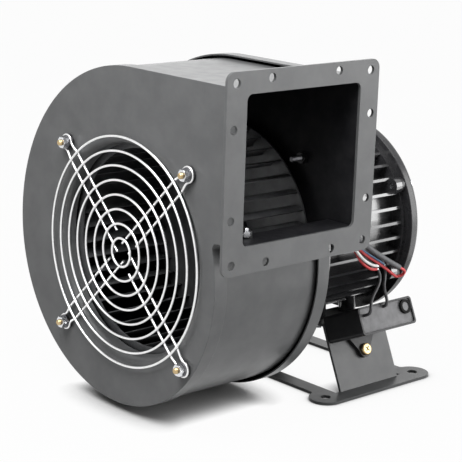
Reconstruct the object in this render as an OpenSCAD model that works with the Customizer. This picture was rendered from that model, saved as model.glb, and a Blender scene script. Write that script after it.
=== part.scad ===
// Centrifugal blower: scroll casing with wire inlet guard, multi-blade impeller,
// finned motor on a bent sheet bracket, and a run capacitor on the bracket's leg.
// X points out of the outlet, Y runs along the shaft towards the motor, Z is up.
// The origin is the centre of the four foot holes, on the underside of the feet.

/* [Casing] */
// Height of the shaft axis above the feet's underside
shaft_h = 110; // [108:0.5:130]
// Radius of the smallest scroll arc
scroll_r = 97; // [94:0.5:104]
// Growth of the scroll radius per quarter turn
scroll_step = 10; // [8:0.5:12]
// Shift of the first arc's centre away from the outlet
scroll_shift_x = 10; // [8:0.5:12]
// Drop of the first arc's centre below the shaft
scroll_shift_z = 7.5; // [6:0.5:9]
// Depth of the casing over both covers
casing_depth = 96.5; // [85:0.5:120]
// Sheet thickness of the casing
sheet = 1.2; // [0.8:0.1:2]
// Depth of the cover rims that lap over the wrapper
rim_lap = 10; // [6:0.5:16]
// How far the back cover stands proud of the front cover
back_proud = 1.7; // [1:0.1:2.5]
// Height of the outlet duct's floor above the shaft
duct_floor = 23.5; // [20:0.5:28]
// Radius at the root of the notch below the duct
notch_r = 4; // [3:0.25:6]
// Distance from the shaft to the back of the outlet flange
outlet_x = 107; // [100:1:140]
// Distance of the duct floor's screw from the shaft
duct_screw_x = 91; // [91:0.5:96]
// Distance of the duct floor's screw behind the front cover
duct_screw_y = 20; // [18:0.5:30]
// Distance from the foot centre forward to the casing's back face
overhang = 73.5; // [70:0.5:90]

/* [Outlet flange] */
// Margin of the flange in front of and behind the opening
flange_margin_w = 15.95; // [13:0.05:20]
// Margin of the flange above and below the opening
flange_margin_h = 15.25; // [13:0.05:20]
// Thickness of the flange
flange_t = 2; // [1.5:0.1:4]
// Outer corner radius
flange_corner = 6; // [2:0.5:10]
// Corner radius of the opening
opening_corner = 4; // [1:0.5:8]
// Distance of the bolt holes from the front and rear edges
flange_inset_w = 7.5; // [6:0.1:9]
// Distance of the bolt holes from the upper and lower edges
flange_inset_h = 6.8; // [6:0.1:8]
// Diameter of the bolt holes
flange_hole_d = 5.5; // [4:0.1:6]
// Drop of the flange's centre below the opening's centre
flange_drop = 1.5; // [0:0.1:2]

/* [Inlet] */
// Radius of the inlet throat
inlet_r = 69; // [60:0.5:71]
// Radius of the rolled inlet mouth
mouth_r = 6; // [4:0.5:8]
// Straight length behind the rolled mouth
mouth_lip = 5; // [2:0.5:8]

/* [Guard] */
// Radius of the outermost wire ring
guard_r = 75; // [65:0.5:78]
// Number of rings
guard_count = 8; // [5:1:10]
// Wire diameter
wire_d = 1.6; // [1:0.1:2]
// Distance of the ring plane in front of the front cover
guard_stand = 4; // [3.6:0.1:10]
// Spacing of the two wires of a leg
leg_gap = 9.4; // [8.6:0.1:11]
// Distance of the leg screws from the shaft
eye_at = 87.5; // [87:0.1:90]
// Inner end of a leg's long wire, from the shaft
leg_long = 3.5; // [2:0.5:8]
// Inner end of a leg's short wire, from the shaft
leg_short = 14; // [10:0.5:20]
// Radius of the eye at a leg's end
eye_r = 3.2; // [3:0.1:3.8]
// Turn of the leg wires towards the eye, in degrees
eye_turn = 20; // [15:1:30]
// Bend radius of that turn
eye_bend = 4; // [3:0.25:5]

/* [Impeller] */
// Outer radius of the impeller
imp_r = 77; // [70:0.5:79]
// Depth of the blades towards the shaft
blade_depth = 11.5; // [9:0.5:14]
// Number of blades
blade_count = 40; // [24:1:44]
// Blade sheet thickness
blade_t = 0.8; // [0.5:0.1:1.2]
// Radius of a blade's curve
blade_curve = 11; // [10:0.5:14]
// Thickness of the front ring and the back disc
disc_t = 1.2; // [0.8:0.1:2]
// Depth of the front ring's band around the blade tips
band_w = 4; // [2:0.5:8]
// Gap between the inlet lip and the front ring
imp_front_gap = 3; // [1:0.5:8]
// Gap between the back disc and the back cover
imp_back_gap = 6; // [5.8:0.1:10]
// Length of the hub
hub_len = 22; // [18:0.5:30]
// Radius of the hub
hub_r = 11; // [9:0.5:13]
// Radius of the hub's flange
hub_flange_r = 20; // [18:0.5:26]

/* [Motor] */
// Radius of the mounting flange
motor_flange_r = 87; // [84:0.5:90]
// Thickness of the mounting flange
motor_flange_t = 3; // [2.5:0.1:5]
// Distance of the mounting screws outside the impeller
motor_screw_past = 10.5; // [9.5:0.1:11]
// Radius of the mounting flange's ears
motor_ear_r = 6.5; // [5:0.25:8]
// Length of the mounting screws' ends inside the casing
motor_screw_out = 11; // [6:0.5:14]
// Length of the front shield between flange and body
shield_len = 7; // [5:0.5:14]
// Length of the finned body
body_len = 86; // [82:0.5:110]
// Radius over the fins
fin_tip_r = 63; // [60:0.5:65]
// Radius at the fins' roots
fin_root_r = 54; // [53:0.5:56]
// Bore of the body
bore_r = 50; // [49:0.5:51]
// Number of fins around the body
fin_count = 38; // [24:1:44]
// Fin thickness
fin_t = 2; // [1.2:0.1:3]
// Radius of the rear shield's rim
rear_r = 70; // [69:0.5:73]
// Width of the rear shield's rim
rear_w = 8; // [6:0.5:12]
// Distance of the body screws from the shaft
lug_at = 64; // [63:0.5:65]
// Radius of the body screw lugs
lug_r = 5.5; // [5:0.25:6]
// Radius of the shaft in its bearings
shaft_r = 6; // [5.5:0.1:6.5]
// Outer radius of the bearings
bearing_r = 16; // [14.5:0.5:18]
// Width of the bearings
bearing_w = 10; // [8:0.5:12]
// Length of the core stack
stack_len = 54; // [40:1:56]
// Inner radius of the stator core
stator_in_r = 30.5; // [29:0.5:33]
// Air gap between stator and rotor
air_gap = 0.5; // [0.4:0.05:1]

/* [Support] */
// Foot hole pitch across the shaft
foot_pitch_x = 125; // [120:1:150]
// Foot hole pitch along the shaft
foot_pitch_y = 88; // [84:1:110]
// Diameter of the foot holes
foot_hole_d = 7; // [5:0.5:9]
// Radius of the ears around the foot holes
ear_r = 11.5; // [9:0.5:14]
// Sheet thickness of the bracket
bracket_t = 2; // [1.5:0.1:3]
// Width of the front and rear bars
bar_w = 12; // [10:0.5:16]
// Width of the two legs
leg_w = 57; // [50:0.5:58]
// Lean of the legs, in degrees
leg_lean = 24; // [18:0.5:28]
// Distance of the legs' outer faces from the middle, at the floor
leg_x = 63; // [60:0.5:66]
// Distance of the motor's foot bosses below the shaft
foot_drop = 64; // [64:0.5:68]
// Distance of the foot bolts from the middle plane
pad_x = 28; // [26:0.5:29]
// Distance between the front and rear foot bolts
pad_pitch = 30; // [24:0.5:32]

/* [Capacitor] */
// Length of the case along the shaft
cap_w = 53; // [40:0.5:56]
// Height of the case along the leg
cap_h = 19.4; // [16:0.2:22]
// Depth of the case away from the leg
cap_d = 35; // [25:0.5:40]
// Wall of the case
cap_wall = 1.4; // [1:0.1:2]
// Distance of the case up the leg
cap_up = 36; // [35:0.5:37]
// Offset of the case along the shaft
cap_y = -1.5; // [-3:0.5:1]
// Offset of the fixing screw along the shaft
cap_screw_y = 1; // [-1:0.5:4]

/* [Hidden] */
$fn = 64;
seam = 0.05;
fit = 0.02;
thread_gap = 0.05;
run_gap = 0.4;
hole_gap = 0.25;
front_y = -overhang - casing_depth;
back_y = -overhang;
wrap_in = sheet + seam;
c1 = [-scroll_shift_x, -scroll_shift_z];
c2 = c1 + [0, scroll_step];
c3 = c2 + [scroll_step, 0];
scroll_top = c3.y + scroll_r + 2*scroll_step;
duct_in = wrap_in + sheet;
open_w = casing_depth - 2*sheet;
open_h = scroll_top - duct_floor - 2*duct_in;
open_z = (scroll_top + duct_floor)/2;
flange_z = open_z - flange_drop;
flange_w = open_w + 2*flange_margin_w;
flange_h = open_h + 2*flange_margin_h;
flange_pitch_w = flange_w - 2*flange_inset_w;
flange_pitch_h = flange_h - 2*flange_inset_h;
hole_out = 1.5;
mid_y = front_y + casing_depth/2;
m4_r = 2;
m4_head_r = 3.75;
m4_head_h = 2.4;
m4_nut_af = 7;
m4_nut_h = 3.2;
m4_washer_r = 4.5;
m4_washer_t = 0.8;
m4_out = 2;
m5_r = 2.5;
m5_head_af = 8;
m5_head_h = 3.5;
m5_washer_r = 5;
m5_washer_t = 1;
m5_reach = 9;
leg_y = front_y - guard_stand + wire_d + seam;
wire_sides = 12;
washer_y = leg_y - wire_d/2 - seam - m4_washer_t;
guard_nut_y = washer_y - m4_nut_h;
imp_in_r = imp_r - blade_depth;
imp_y0 = front_y + mouth_r + mouth_lip + imp_front_gap;
imp_y1 = back_y - sheet - imp_back_gap;
blade_y0 = imp_y0 + disc_t;
blade_y1 = imp_y1 - disc_t;
hub_flange_t = 3;
hub_y = blade_y1 - hub_len;
seat_r = shaft_r - 1;
shield_end = back_y + motor_flange_t + shield_len;
body_end = shield_end + body_len;
spigot = 3;
spigot_t = 4;
boss_wall = 4;
bearing_y = back_y + motor_flange_t;
rear_step = 3;
rear_wall = 4;
rear_bearing_y = body_end - 5;
race_in_r = shaft_r + 0.3*(bearing_r - shaft_r);
core_y = (shield_end + body_end - stack_len)/2;
rotor_r = stator_in_r - air_gap;
winding_h = 10;
cage_t = 6;
motor_hole_r = lug_at + m4_head_r + 1.5;
lug_turn = 28.6;
fin_turn = -4.3;
lug_depth = 5.5;
rear_edge = 0.6;
tab_z = shaft_h - foot_drop;
motor_screw_at = imp_r + motor_screw_past;
pad_r = 6;
pad_end = 13.5;
pad_y = body_end - pad_end - pad_pitch/2;
tab_len = pad_pitch + 16;
tab_in = 10;
bend_fillet = 3;
bar_y = foot_pitch_y/2 - 5.5;
exit_x = 71.5;
exit_y = -36;
exit_z = shaft_h + 4.5;
exit_r = 5;
exit_wall = 2;
exit_collar = 1.5;
cap_corner = 2.5;
cap_recess = 1.2;
cap_tab_t = 3;
cap_tab_r = 5.5;
cap_tab_w = 12;
cap_screw_v = 26.5;
post_r = 5;
post_bore = 3.2;
post_y = cap_w/2 - 7.2;
post_v = cap_h - 6.6;
lead_d = 2;
sleeve_d = 3.6;
cap_lead_d = 2.2;
SLEEVE = [[73.5, -35.4, 116.4], [73.8, -29, 112.2], [74, -20, 105.6], [73.5, -5, 96.5], [73.5, 3, 92],
    [73.5, 10.9, 87.7]];
LOOP = [[73.5, 10, 88.2], [73.5, 13, 86.5], [73.4, 15.6, 85], [72.9, 17.3, 83.4], [71.7, 17.8, 81.5],
    [70.2, 16.9, 80], [68.9, 15, 79.4], [68.4, 12.6, 80.1], [68.6, 8, 83.2], [69, -4, 91],
    [69, -20, 100.6], [70.2, -35.4, 112.2]];
BLUE = [[67.7, -35.4, 114.3], [66.8, -29, 109], [66.5, -19.3, 102.2], [66.5, -6.9, 95],
    [66.5, 2.5, 89.4]];
WHITE = [[72.8, -35.4, 109.9], [72.2, -31, 104.6], [71.5, -22.6, 97.4], [71.5, -14.6, 92.8],
    [71.5, -9.4, 91.4]];
SHORT = [[69.9, -35.4, 109.4], [69.5, -29.4, 103.5], [69.4, -23, 95.7], [70.5, -15.4, 90.1],
    [71.3, -9.4, 89]];
CAP_A = [[67.9, -35.4, 110.9], [66.6, -26, 102.4], [66.2, -12, 93.4], [66.2, -4, 87.6],
    [66.5, -1, 82.8], [67.9, -2.2, 78.2], [70.7, -7.6, 74.8], [74, -14.2, 72], [77.2, -19.4, 69.2],
    [79.1, -21.6, 66.2], [79.3, -22, 63.6], [78.3, -22.1, 61.4], [76.2, -22.1, 60], [72.6, -22, 58.4]];
CAP_B = [[67.3, -35.4, 117.1], [65.6, -27, 111.2], [64.8, -12.7, 102.4], [64.5, -1, 95], [64.6, 4, 89.6],
    [65.1, 5.8, 84.6], [66.6, 4.4, 79.6], [69.2, 1.2, 75.6], [72.2, -1.2, 72.2], [74.9, -2.1, 68.8],
    [75.8, -2.2, 65.5], [74.6, -2.1, 62.8], [71.5, -2, 61.1]];

function unit(v) = v/norm(v);
function arc(c, r, a0, a1, n) = [for (i = [0:n]) c + r*[cos(a0 + (a1 - a0)*i/n), sin(a0 + (a1 - a0)*i/n)]];
function leg_top() = tab_z/cos(leg_lean);

// Round route through hand-set points
function spline(a, b, c, d, t) =
    0.5*(2*b + (c - a)*t + (2*a - 5*b + 4*c - d)*t*t + (3*b - a - 3*c + d)*t*t*t);
function route(p, n) = [
    for (i = [0:len(p) - 2], k = [0:n - 1])
        spline(p[max(i - 1, 0)], p[i], p[i + 1], p[min(i + 2, len(p) - 1)], k/n),
    p[len(p) - 1]];
function along(p, i) = unit(p[min(i + 1, len(p) - 1)] - p[max(i - 1, 0)]);
function side(u, t) = unit(u - (u*t)*t);
function carry(p, u, i) = i >= len(p) ? [] : let (v = side(u, along(p, i))) concat([v], carry(p, v, i + 1));

// Swept tube
module tube(p, d, n = 8) {
    u = carry(p, [0.3, 0.1, 1], 0);
    pts = [
        for (i = [0:len(p) - 1], k = [0:n - 1])
            p[i] + d/2*(cos(360*k/n)*u[i] + sin(360*k/n)*cross(along(p, i), u[i]))];
    sides = [
        for (i = [0:len(p) - 2], k = [0:n - 1])
            [i*n + k, (i + 1)*n + k, (i + 1)*n + (k + 1)%n, i*n + (k + 1)%n]];
    first = [for (k = [0:n - 1]) k];
    last = [for (k = [n - 1:-1:0]) (len(p) - 1)*n + k];
    polyhedron(pts, concat(sides, [first, last]), convexity = 6);
}

// Drawing in X and Z about the shaft, extruded along Y
module plate(y, t) {
    translate([0, y + t, shaft_h]) rotate([90, 0, 0]) linear_extrude(t) children();
}

// Profile of radius and distance along Y, turned about the shaft
module turned(y) {
    translate([0, y, shaft_h]) rotate([-90, 0, 0]) rotate_extrude() children();
}

module ring(y, t, r, hole) {
    turned(y) translate([hole, 0]) square([r - hole, t]);
}

// Copies on a circle about the shaft, with their own Z along +Y
module around(n, r, turn, y) {
    for (i = [0:n - 1]) {
        a = turn + 360*i/n;
        translate([r*cos(a), y, shaft_h + r*sin(a)]) rotate([-90, 0, 0]) children();
    }
}

// Copies at the four body screws, level with each other on both sides
module lugs(y) {
    for (a = [lug_turn, 180 - lug_turn, 180 + lug_turn, -lug_turn])
        translate([lug_at*cos(a), y, shaft_h + lug_at*sin(a)]) rotate([-90, 0, 0]) children();
}

module rounded(w, h, r) {
    square([w - 2*r, h], center = true);
    square([w, h - 2*r], center = true);
    for (i = [-1, 1], k = [-1, 1]) translate([i*(w/2 - r), k*(h/2 - r)]) circle(r);
}

// Hollow fillet between a disc and the edge of a bar that lies above the line
module blend(c, r_disc, line, r, dir) {
    f = [c.x + dir*sqrt(pow(r_disc + r, 2) - pow(line - r - c.y, 2)), line - r];
    t = c + r_disc*unit(f - c);
    k = c.x + dir*sqrt(pow(r_disc, 2) - pow(line - c.y, 2));
    difference() {
        polygon([f, [f.x, line + 0.5], [k - dir, line + 0.5], t - [dir*0.5, 0], t]);
        translate(f) circle(r);
    }
}

// Pan-head screw: head below zero, shank up to l
module screw(r, l, head_r, head_h) {
    rotate_extrude()
        polygon(concat([[0, -head_h]], arc([head_r - 0.45*head_h, -0.55*head_h], 0.45*head_h, -90, 0, 4),
            [[head_r, 0], [r, 0], [r, l - 0.3], [r - 0.3, l], [0, l]]));
}

module hex_nut(af, h, bore) {
    corner = af/2/cos(30);
    difference() {
        intersection() {
            cylinder(r = corner, h = h, $fn = 6);
            rotate_extrude()
                polygon([[0, 0], [af/2*1.02, 0], [corner + 0.1, 0.14*h], [corner + 0.1, 0.86*h],
                    [af/2*1.02, h], [0, h]]);
        }
        translate([0, 0, -1]) cylinder(r = bore, h = h + 2);
    }
}

module washer(r, bore, t) {
    difference() {
        cylinder(r = r, h = t);
        translate([0, 0, -1]) cylinder(r = bore, h = t + 2);
    }
}

// Scroll outline set in by d: three arcs that grow by a quarter turn, and the outlet duct
module scroll(d, past) {
    r1 = scroll_r - d;
    r2 = r1 + scroll_step;
    r3 = r2 + scroll_step;
    floor_z = duct_floor + d;
    translate(c1) intersection() {
        circle(r1);
        translate([0, -r1 - 1]) square([r1 + 1, r1 + 1.5 + floor_z - c1.y]);
    }
    translate(c2) intersection() {
        circle(r2);
        translate([-r2 - 1, -r2 - 1]) square(r2 + 1);
    }
    translate(c3) intersection() {
        circle(r3);
        translate([-r3 - 1, 0]) square(r3 + 1);
    }
    translate([c3.x, floor_z]) square([outlet_x + past - c3.x, c3.y + r3 - floor_z]);
    blend(c1, r1, floor_z, notch_r + d, 1);
}

module front_cover() {
    c = [inlet_r + mouth_r, mouth_r];
    outer = arc(c, mouth_r, 270, 180, 12);
    inner = arc(c, mouth_r - sheet, 180, 270, 12);
    lip = [[inlet_r, mouth_r + mouth_lip], [inlet_r + sheet, mouth_r + mouth_lip]];
    color([0.25, 0.25, 0.26]) union() {
        difference() {
            plate(front_y, rim_lap) scroll(0, 0);
            plate(front_y + sheet, rim_lap) scroll(sheet, 1);
            ring(front_y - 1, sheet + 2, inlet_r + mouth_r, 0);
            around(4, eye_at, 45, front_y - 1) cylinder(r = m4_r + hole_gap, h = sheet + 2);
        }
        turned(front_y) polygon(concat(outer, lip, inner));
    }
}

module scroll_wrapper() {
    color([0.22, 0.22, 0.23]) difference() {
        plate(front_y + sheet, open_w) scroll(wrap_in, 0);
        plate(front_y, casing_depth) scroll(wrap_in + sheet, 1);
        at_duct_screw(-1) cylinder(r = m4_r + hole_gap, h = sheet + 2);
    }
}

module back_cover() {
    color([0.25, 0.25, 0.26]) difference() {
        plate(back_y - rim_lap, rim_lap) scroll(-back_proud, 0);
        plate(back_y - rim_lap - sheet, rim_lap) scroll(sheet - back_proud, 1);
        ring(back_y - sheet - 1, sheet + 2, motor_hole_r, 0);
        around(4, motor_screw_at, 45, back_y - sheet - 1) cylinder(r = m4_r + hole_gap, h = sheet + 2);
    }
}

// Screw through the duct floor beside the tongue
module at_duct_screw(z) {
    floor_z = shaft_h + duct_floor + wrap_in;
    translate([duct_screw_x, front_y + duct_screw_y, floor_z + z]) children();
}

module duct_screw() {
    l = sheet + m4_washer_t + m4_nut_h + m4_out;
    color([0.72, 0.72, 0.72]) at_duct_screw(0) screw(m4_r, l, m4_head_r - 0.75, m4_head_h);
}

module duct_washer() {
    color([0.15, 0.15, 0.15]) at_duct_screw(sheet)
        washer(m4_washer_r, m4_r + hole_gap, m4_washer_t);
}

module duct_nut() {
    color([0.8, 0.8, 0.8]) at_duct_screw(sheet + m4_washer_t)
        hex_nut(m4_nut_af, m4_nut_h, m4_r + thread_gap);
}

module flange_holes() {
    for (i = [-1, 1], k = [-1, 1]) {
        translate([i*flange_pitch_w/2, k*flange_pitch_h/2]) circle(d = flange_hole_d);
        translate([i*flange_pitch_w/4, k*(flange_pitch_h/2 + hole_out)]) circle(d = flange_hole_d);
        translate([i*(flange_pitch_w/2 + hole_out), k*flange_pitch_h/4]) circle(d = flange_hole_d);
    }
}

module outlet_flange() {
    color([0.3, 0.3, 0.31]) translate([outlet_x, mid_y, shaft_h]) rotate([90, 0, 90])
        linear_extrude(flange_t) difference() {
            translate([0, flange_z]) rounded(flange_w, flange_h, flange_corner);
            translate([0, open_z]) rounded(open_w, open_h, opening_corner);
            translate([0, flange_z]) flange_holes();
        }
}

module guard_rings() {
    color([0.85, 0.86, 0.88])
        for (k = [1:guard_count])
            turned(front_y - guard_stand) translate([guard_r*k/guard_count, 0]) circle(d = wire_d);
}

// One side of a hairpin leg: straight wire, then the bend towards the eye
function leg_side(start) = let (
    run = (leg_gap/2 - eye_bend + (eye_bend - eye_r)*cos(eye_turn))/sin(eye_turn),
    back = run*cos(eye_turn) + (eye_bend - eye_r)*sin(eye_turn))
    concat([[start, leg_gap/2]],
        arc([eye_at - back, leg_gap/2 - eye_bend], eye_bend, 90, 90 - eye_turn, 4));

// Whole hairpin, down one side, round the eye and back up the other
function hairpin() = let (
    there = leg_side(leg_long),
    back = leg_side(leg_short),
    eye = arc([eye_at, 0], eye_r, 90 - eye_turn, eye_turn - 90, 12))
    concat([for (q = there) [q.x, q.y, 0]], [for (q = eye) [q.x, q.y, 0]],
        [for (i = [len(back) - 1:-1:0]) [back[i].x, -back[i].y, 0]]);

module guard_legs() {
    color([0.85, 0.86, 0.88]) translate([0, leg_y, shaft_h]) rotate([90, 0, 0])
        for (i = [0:3]) rotate([0, 0, 45 + 90*i]) tube(hairpin(), wire_d, wire_sides);
}

module guard_spacers() {
    y = leg_y + wire_d/2 + seam;
    color([0.7, 0.71, 0.73]) around(4, eye_at, 45, y) washer(m4_washer_r, m4_r + hole_gap, front_y - y);
}

module guard_washers() {
    color([0.75, 0.75, 0.76]) around(4, eye_at, 45, washer_y)
        washer(m4_washer_r, m4_r + hole_gap, m4_washer_t);
}

module guard_nuts() {
    color([0.78, 0.78, 0.78]) around(4, eye_at, 45, guard_nut_y)
        hex_nut(m4_nut_af, m4_nut_h, m4_r + thread_gap);
}

module guard_screws() {
    l = front_y + sheet - guard_nut_y + m4_out;
    color([0.72, 0.6, 0.33]) around(4, eye_at, 45, front_y + sheet)
        rotate([180, 0, 0]) screw(m4_r, l, m4_head_r, m4_head_h);
}

module impeller_ring() {
    color([0.5, 0.51, 0.53]) turned(imp_y0)
        polygon([[imp_in_r, 0], [imp_r + disc_t, 0], [imp_r + disc_t, band_w], [imp_r + seam, band_w],
            [imp_r + seam, disc_t], [imp_in_r, disc_t]]);
}

// Forward-curved blades, hollow side leading in the clockwise sense seen from the inlet
module impeller_blades() {
    l = blade_y1 - blade_y0;
    r0 = imp_in_r + blade_t;
    reach = imp_r - blade_t;
    base = pow(r0, 2) + 2*pow(blade_curve, 2);
    span = norm([r0, blade_curve]);
    sweep = asin((pow(reach, 2) - base)/(2*blade_curve*span)) + atan2(blade_curve, r0);
    color([0.62, 0.63, 0.65]) translate([0, blade_y1, shaft_h]) rotate([90, 0, 0])
        for (i = [0:blade_count - 1]) rotate([0, 0, 360*i/blade_count])
            translate([r0, -blade_curve, 0]) rotate([0, 0, 90 - sweep])
                rotate_extrude(angle = sweep) translate([blade_curve - blade_t/2, 0]) square([blade_t, l]);
}

module impeller_disc() {
    color([0.5, 0.51, 0.53]) difference() {
        ring(blade_y1, disc_t, imp_r, seat_r + 1);
        around(6, (hub_r + hub_flange_r)/2, 0, blade_y1 - 1) cylinder(r = m4_r + fit, h = disc_t + 2);
    }
}

module impeller_hub() {
    color([0.6, 0.61, 0.62]) difference() {
        turned(hub_y)
            polygon([[seat_r + fit, 0], [hub_r, 0], [hub_r, hub_len - hub_flange_t],
                [hub_flange_r, hub_len - hub_flange_t], [hub_flange_r, hub_len], [seat_r + fit, hub_len]]);
        around(6, (hub_r + hub_flange_r)/2, 0, blade_y1 - hub_flange_t - 1)
            cylinder(r = m4_r + fit, h = hub_flange_t + 2);
        translate([0, hub_y + hub_len/3, shaft_h]) cylinder(r = m5_r + thread_gap, h = hub_r + 1);
    }
}

module hub_rivets() {
    color([0.7, 0.71, 0.72]) around(6, (hub_r + hub_flange_r)/2, 0, blade_y1 - hub_flange_t)
        rotate_extrude()
            polygon([[0, -1.2], [2, -1.2], [3.2, -0.5], [3.2, 0], [m4_r, 0], [m4_r, hub_flange_t + disc_t],
                [3.2, hub_flange_t + disc_t],
                [3.2, hub_flange_t + disc_t + 0.8], [0, hub_flange_t + disc_t + 0.8]]);
}

module hub_grub_screw() {
    color([0.3, 0.3, 0.31]) translate([0, hub_y + hub_len/3, shaft_h + seat_r + fit]) difference() {
        cylinder(r = m5_r, h = hub_r - seat_r - 0.8);
        translate([0, 0, hub_r - seat_r - 3]) cylinder(d = 2.8, h = 4, $fn = 6);
    }
}

module shaft() {
    rear = rear_bearing_y + bearing_w;
    core_r = shaft_r + 1.5;
    color([0.75, 0.76, 0.78]) turned(0)
        polygon([[0, hub_y], [seat_r - 0.5, hub_y], [seat_r, hub_y + 0.5], [seat_r, blade_y1 + disc_t + 1],
            [shaft_r, blade_y1 + disc_t + 1], [shaft_r, bearing_y + bearing_w],
            [core_r, bearing_y + bearing_w], [core_r, rear_bearing_y], [shaft_r, rear_bearing_y],
            [shaft_r, rear - 0.5], [shaft_r - 0.5, rear],
            [0, rear]]);
}

module rotor_core() {
    color([0.55, 0.55, 0.56]) ring(core_y, stack_len, rotor_r, shaft_r + 1.5 + fit);
}

module rotor_cage() {
    color([0.8, 0.8, 0.8]) {
        ring(core_y - cage_t, cage_t, rotor_r - 1, rotor_r - 10);
        ring(core_y + stack_len, cage_t, rotor_r - 1, rotor_r - 10);
    }
}

module front_race() {
    color([0.7, 0.7, 0.71]) ring(bearing_y, bearing_w, race_in_r, shaft_r + fit);
}

module rear_race() {
    color([0.7, 0.7, 0.71]) ring(rear_bearing_y, bearing_w, race_in_r, shaft_r + fit);
}

module front_bearing() {
    color([0.6, 0.6, 0.61]) ring(bearing_y, bearing_w, bearing_r, race_in_r + run_gap);
}

module rear_bearing() {
    color([0.6, 0.6, 0.61]) ring(rear_bearing_y, bearing_w, bearing_r, race_in_r + run_gap);
}

module front_shield() {
    t = motor_flange_t;
    e = t + shield_len;
    seat = bearing_r + fit;
    neck = bearing_r - 3;
    body_r = fin_root_r + 1;
    color([0.33, 0.33, 0.34]) difference() {
        union() {
            around(4, motor_screw_at, 45, back_y) cylinder(r = motor_ear_r, h = t);
            turned(back_y) polygon([[neck, 0], [motor_flange_r - 0.8, 0], [motor_flange_r, 0.8],
                [motor_flange_r, t - 0.8], [motor_flange_r - 0.8, t], [lug_at + lug_r + 1, t],
                [lug_at + lug_r - 1, e], [bore_r - fit, e],
                [bore_r - fit, e + spigot], [bore_r - spigot_t, e + spigot], [bore_r - spigot_t, t],
                [seat + boss_wall + 2, t], [seat + boss_wall, t + 2], [seat + boss_wall, t + bearing_w],
                [seat, t + bearing_w], [seat, t], [neck, t]]);
        }
        around(4, motor_screw_at, 45, back_y - 1) cylinder(r = m4_r + hole_gap, h = t + 2);
        lugs(back_y - 1) cylinder(r = m4_r + hole_gap, h = e + 2);
    }
}

module shield_screws() {
    color([0.7, 0.7, 0.7]) lugs(back_y)
        screw(m4_r, motor_flange_t + shield_len + lug_depth - 0.5, m4_head_r, m4_head_h);
}

module motor_screws() {
    l = motor_flange_t + sheet + motor_screw_out;
    color([0.7, 0.7, 0.7]) around(4, motor_screw_at, 45, back_y + motor_flange_t)
        rotate([180, 0, 0]) screw(m4_r, l, m4_head_r, m4_head_h);
}

module motor_nuts() {
    color([0.12, 0.12, 0.12]) around(4, motor_screw_at, 45, back_y - sheet - m4_nut_h)
        hex_nut(m4_nut_af, m4_nut_h, m4_r + thread_gap);
}

// Foot bosses under the body and the block that the leads come out of
module body_blocks() {
    for (i = [-1, 1], k = [-1, 1])
        translate([i*pad_x, pad_y + k*pad_pitch/2, tab_z]) cylinder(r = pad_r, h = foot_drop - pad_x);
    translate([fin_root_r - 3, exit_y - 14, exit_z - exit_r - exit_wall])
        cube([exit_x + exit_r + exit_wall - fin_root_r + 3, 14, 2*(exit_r + exit_wall)]);
}

// Screw lugs at an end of the body
module body_lugs() {
    for (i = [0, 1], k = [0, 1]) mirror([i, 0]) mirror([0, k]) rotate(lug_turn) {
        translate([lug_at, 0]) circle(lug_r);
        translate([fin_root_r - 1, -lug_r]) square([lug_at - fin_root_r + 1, 2*lug_r]);
    }
}

module motor_body() {
    color([0.16, 0.16, 0.17]) difference() {
        union() {
            plate(shield_end, body_len) {
                circle(fin_root_r);
                for (i = [0:fin_count - 1])
                    rotate(fin_turn + 360*i/fin_count) translate([fin_root_r - 1, -fin_t/2])
                        square([fin_tip_r - fin_root_r + 1, fin_t]);
            }
            plate(shield_end, lug_depth) body_lugs();
            plate(body_end - lug_depth, lug_depth) body_lugs();
            body_blocks();
        }
        ring(shield_end - 1, body_len + 2, bore_r, 0);
        lugs(shield_end - 1) cylinder(r = m4_r + thread_gap, h = lug_depth + 2);
        lugs(body_end - lug_depth - 1) cylinder(r = m4_r + thread_gap, h = lug_depth + 2);
        for (i = [-1, 1], k = [-1, 1])
            translate([i*pad_x, pad_y + k*pad_pitch/2, tab_z - 1])
                cylinder(r = m5_r + thread_gap, h = m5_reach + 2);
        translate([exit_x, exit_y - 11, exit_z]) rotate([-90, 0, 0]) cylinder(r = exit_r - 1, h = 12);
    }
}

module stator_core() {
    color([0.5, 0.5, 0.52]) ring(core_y, stack_len, bore_r - fit, stator_in_r);
}

module winding_ring(y) {
    a = stator_in_r + 3;
    b = bore_r - spigot_t - 1;
    turned(y)
        polygon([[a, 0], [b, 0], [b, winding_h - 2], [b - 2, winding_h], [a + 2, winding_h],
            [a, winding_h - 2]]);
}

module stator_windings() {
    color([0.72, 0.4, 0.2]) {
        winding_ring(core_y + stack_len);
        translate([0, 2*core_y, 0]) mirror([0, 1, 0]) winding_ring(core_y);
    }
}

module rear_shield() {
    w = rear_step + rear_w;
    seat = bearing_r + fit;
    boss_y = rear_bearing_y - body_end;
    boss_end = boss_y + bearing_w + 4;
    wall = w - rear_wall;
    rim = rear_w/2 - 0.5;
    color([0.3, 0.3, 0.31]) difference() {
        union() {
            plate(body_end, rear_step + 1) body_lugs();
            turned(body_end)
            polygon(concat([[bore_r - spigot_t, -spigot], [bore_r - fit, -spigot], [bore_r - fit, 0],
                [fin_tip_r + 1, 0], [fin_tip_r + 1, rear_step]],
                arc([rear_r - rear_edge, rear_step + rear_edge], rear_edge, -90, 0, 4),
                arc([rear_r - rim, w - rim], rim, 0, 90, 6),
                [[seat + boss_wall + 6, w], [seat + boss_wall, boss_end], [0, boss_end],
                [0, boss_y + bearing_w], [seat, boss_y + bearing_w], [seat, boss_y],
                [seat + boss_wall, boss_y], [seat + boss_wall, wall],
                [bore_r - spigot_t, wall]]));
        }
        lugs(body_end - 1) cylinder(r = m4_r + hole_gap, h = w + 2);
    }
}

module rear_screws() {
    l = rear_step + rear_w + lug_depth - 0.5;
    color([0.7, 0.7, 0.7]) lugs(body_end + rear_step + rear_w)
        rotate([180, 0, 0]) screw(m4_r, l, m4_head_r, m4_head_h);
}

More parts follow.
